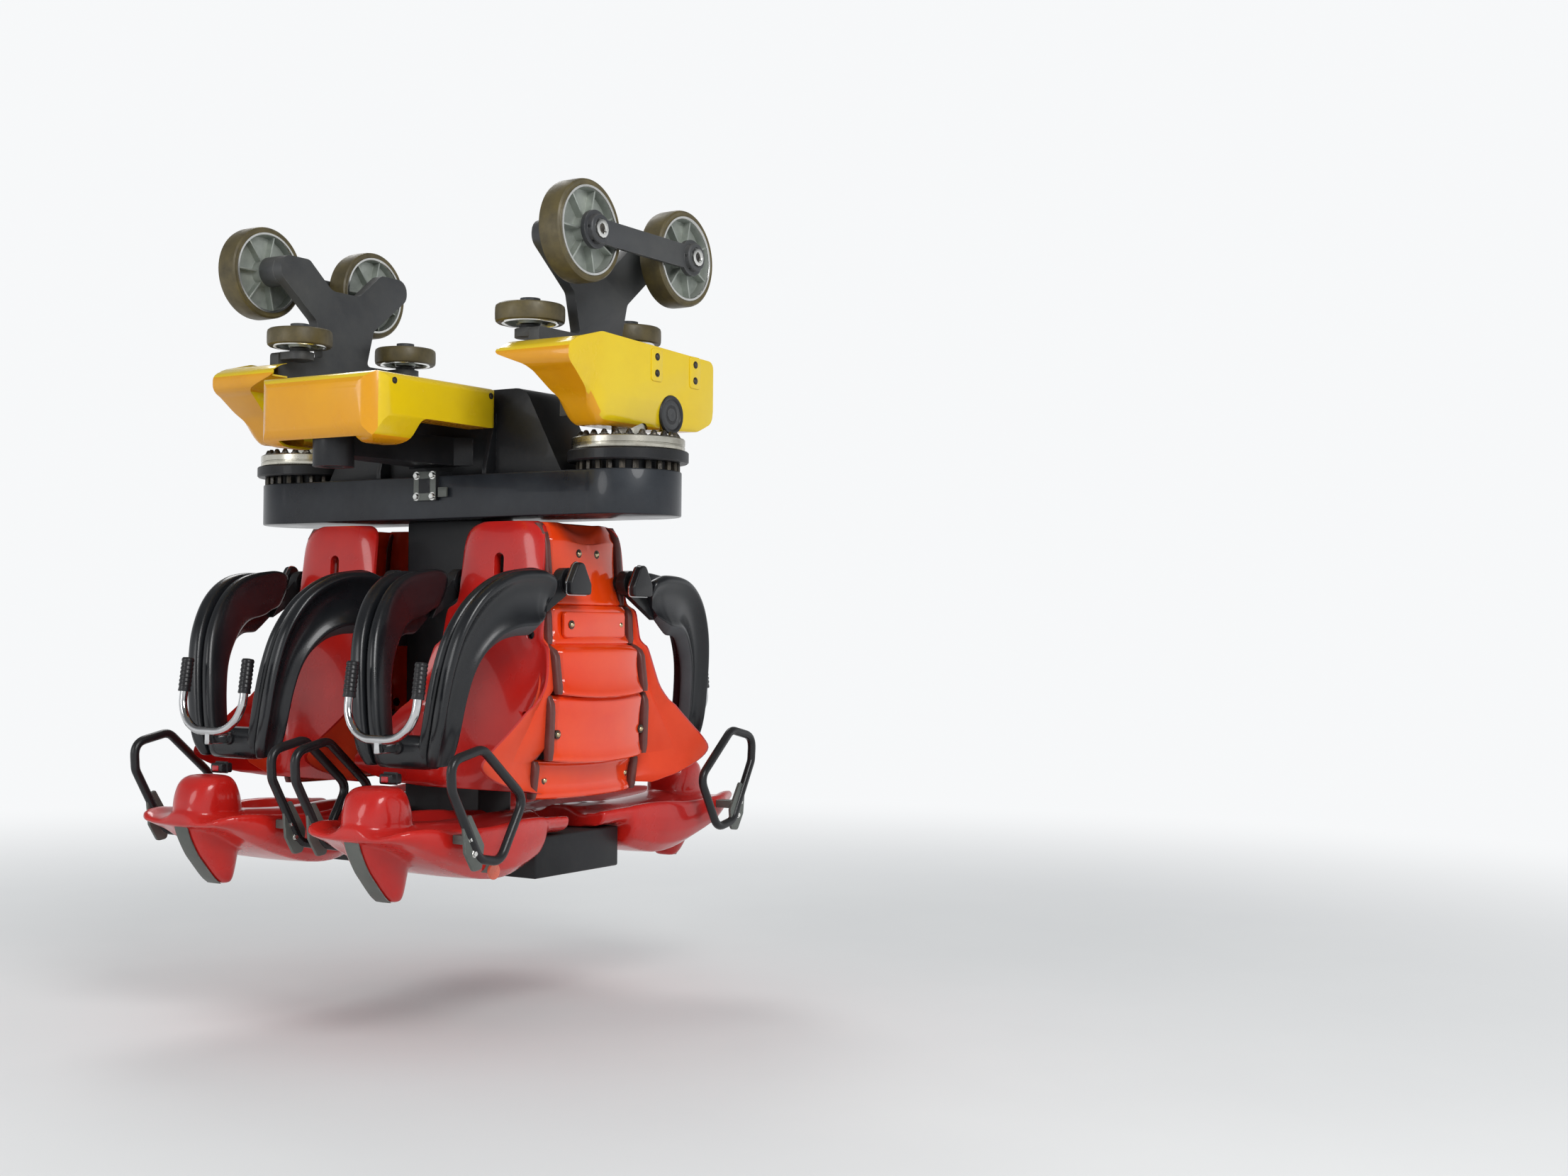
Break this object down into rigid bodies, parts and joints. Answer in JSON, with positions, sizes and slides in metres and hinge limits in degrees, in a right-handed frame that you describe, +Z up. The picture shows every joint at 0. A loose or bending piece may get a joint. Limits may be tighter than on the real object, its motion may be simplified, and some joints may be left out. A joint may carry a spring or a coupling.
{
  "type": "suspended roller coaster car",
  "caption": "Roller coaster car that hangs below two rails: back-to-back seats with shoulder harnesses under a yoke beam, with two wheeled bogies on slewing rings.",
  "frame": {"origin": "midway between the centre lines of the two rails, at the middle of the car", "axes": "+X along the track towards the rear of the car, +Y across the track to its right side, +Z up"},
  "size_m": [1.596, 1.632, 2.0015],
  "materials": {
    "black_paint": "satin black paint with dust and rubbed edges",
    "loop_black": "black plastic-coated tube, worn at the grip",
    "cover_yellow": "glossy yellow gelcoat",
    "seat_red": "glossy red moulded plastic",
    "panel_orange": "glossy orange-red moulded plastic",
    "webbing": "black woven belt with a plastic buckle",
    "ring_steel": "turned steel, greased",
    "frame_grey": "dark grey paint",
    "wheel_cast": "cast aluminium hub with an olive polyurethane tread",
    "pad_black": "soft black skin foam",
    "handle_chrome": "polished tube with black grips"
  },
  "bodies": {
    "car_frame": {"yoke_beam": "black_paint", "tower": "black_paint", "rear_clevis": "black_paint", "slew_rings": "black_paint", "coupler_arm": "black_paint", "coupler_hood": "cover_yellow", "backbone": "black_paint", "hinge_tubes": "black_paint", "seat_beams": "black_paint", "side_panels": "panel_orange", "seat_back_front_left": "seat_red", "seat_back_front_right": "seat_red", "seat_back_rear_left": "seat_red", "seat_back_rear_right": "seat_red", "seat_pan_front_left": "seat_red", "seat_pan_front_right": "seat_red", "seat_pan_rear_left": "seat_red", "seat_pan_rear_right": "seat_red", "hand_loops_front": "loop_black", "hand_loops_rear": "loop_black", "lap_straps": "webbing"},
    "bogie_left": {"turret_left": "ring_steel", "bogie_frame_left": "frame_grey", "wheel_link_left": "frame_grey", "bogie_cover_left": "cover_yellow"},
    "road_rotor_left_front": {"road_wheel_left_front": "wheel_cast"},
    "side_rotor_left_front": {"side_wheel_left_front": "wheel_cast"},
    "stop_rotor_left_front": {"stop_wheel_left_front": "wheel_cast"},
    "road_rotor_left_rear": {"road_wheel_left_rear": "wheel_cast"},
    "side_rotor_left_rear": {"side_wheel_left_rear": "wheel_cast"},
    "stop_rotor_left_rear": {"stop_wheel_left_rear": "wheel_cast"},
    "bogie_right": {"turret_right": "ring_steel", "bogie_frame_right": "frame_grey", "wheel_link_right": "frame_grey", "bogie_cover_right": "cover_yellow"},
    "road_rotor_right_front": {"road_wheel_right_front": "wheel_cast"},
    "side_rotor_right_front": {"side_wheel_right_front": "wheel_cast"},
    "stop_rotor_right_front": {"stop_wheel_right_front": "wheel_cast"},
    "road_rotor_right_rear": {"road_wheel_right_rear": "wheel_cast"},
    "side_rotor_right_rear": {"side_wheel_right_rear": "wheel_cast"},
    "stop_rotor_right_rear": {"stop_wheel_right_rear": "wheel_cast"},
    "harness_front_left": {"harness_frame_front_left": "black_paint", "harness_pad_front_left": "pad_black", "harness_handle_front_left": "handle_chrome"},
    "harness_front_right": {"harness_frame_front_right": "black_paint", "harness_pad_front_right": "pad_black", "harness_handle_front_right": "handle_chrome"},
    "harness_rear_left": {"harness_frame_rear_left": "black_paint", "harness_pad_rear_left": "pad_black", "harness_handle_rear_left": "handle_chrome"},
    "harness_rear_right": {"harness_frame_rear_right": "black_paint", "harness_pad_rear_right": "pad_black", "harness_handle_rear_right": "handle_chrome"}
  },
  "joints": [
    {"name": "slew_left", "type": "hinge", "parent": "car_frame", "child": "bogie_left", "pos_m": [0, -0.64, -0.38], "axis": [0, 0, 1], "range_deg": [-10, 10]},
    {"name": "spin_road_left_front", "type": "hinge", "parent": "bogie_left", "child": "road_rotor_left_front", "pos_m": [-0.235, -0.64, 0.22], "axis": [0, 1, 0], "continuous": true},
    {"name": "spin_side_left_front", "type": "hinge", "parent": "bogie_left", "child": "side_rotor_left_front", "pos_m": [-0.235, -0.462, 0], "axis": [0, 0, 1], "continuous": true},
    {"name": "spin_stop_left_front", "type": "hinge", "parent": "bogie_left", "child": "stop_rotor_left_front", "pos_m": [-0.15, -0.64, -0.148], "axis": [0, 1, 0], "continuous": true},
    {"name": "spin_road_left_rear", "type": "hinge", "parent": "bogie_left", "child": "road_rotor_left_rear", "pos_m": [0.235, -0.64, 0.22], "axis": [0, 1, 0], "continuous": true},
    {"name": "spin_side_left_rear", "type": "hinge", "parent": "bogie_left", "child": "side_rotor_left_rear", "pos_m": [0.235, -0.462, 0], "axis": [0, 0, 1], "continuous": true},
    {"name": "spin_stop_left_rear", "type": "hinge", "parent": "bogie_left", "child": "stop_rotor_left_rear", "pos_m": [0.15, -0.64, -0.148], "axis": [0, 1, 0], "continuous": true},
    {"name": "slew_right", "type": "hinge", "parent": "car_frame", "child": "bogie_right", "pos_m": [0, 0.64, -0.38], "axis": [0, 0, 1], "range_deg": [-10, 10]},
    {"name": "spin_road_right_front", "type": "hinge", "parent": "bogie_right", "child": "road_rotor_right_front", "pos_m": [-0.235, 0.64, 0.22], "axis": [0, 1, 0], "continuous": true},
    {"name": "spin_side_right_front", "type": "hinge", "parent": "bogie_right", "child": "side_rotor_right_front", "pos_m": [-0.235, 0.462, 0], "axis": [0, 0, 1], "continuous": true},
    {"name": "spin_stop_right_front", "type": "hinge", "parent": "bogie_right", "child": "stop_rotor_right_front", "pos_m": [-0.15, 0.64, -0.148], "axis": [0, 1, 0], "continuous": true},
    {"name": "spin_road_right_rear", "type": "hinge", "parent": "bogie_right", "child": "road_rotor_right_rear", "pos_m": [0.235, 0.64, 0.22], "axis": [0, 1, 0], "continuous": true},
    {"name": "spin_side_right_rear", "type": "hinge", "parent": "bogie_right", "child": "side_rotor_right_rear", "pos_m": [0.235, 0.462, 0], "axis": [0, 0, 1], "continuous": true},
    {"name": "spin_stop_right_rear", "type": "hinge", "parent": "bogie_right", "child": "stop_rotor_right_rear", "pos_m": [0.15, 0.64, -0.148], "axis": [0, 1, 0], "continuous": true},
    {"name": "open_front_left", "type": "hinge", "parent": "car_frame", "child": "harness_front_left", "pos_m": [-0.15, -0.33, -0.7605], "axis": [0, 1, 0], "range_deg": [0, 60]},
    {"name": "open_front_right", "type": "hinge", "parent": "car_frame", "child": "harness_front_right", "pos_m": [-0.15, 0.33, -0.7605], "axis": [0, 1, 0], "range_deg": [0, 60]},
    {"name": "open_rear_left", "type": "hinge", "parent": "car_frame", "child": "harness_rear_left", "pos_m": [0.15, -0.33, -0.7605], "axis": [0, -1, 0], "range_deg": [0, 60]},
    {"name": "open_rear_right", "type": "hinge", "parent": "car_frame", "child": "harness_rear_right", "pos_m": [0.15, 0.33, -0.7605], "axis": [0, -1, 0], "range_deg": [0, 60]}
  ]
}
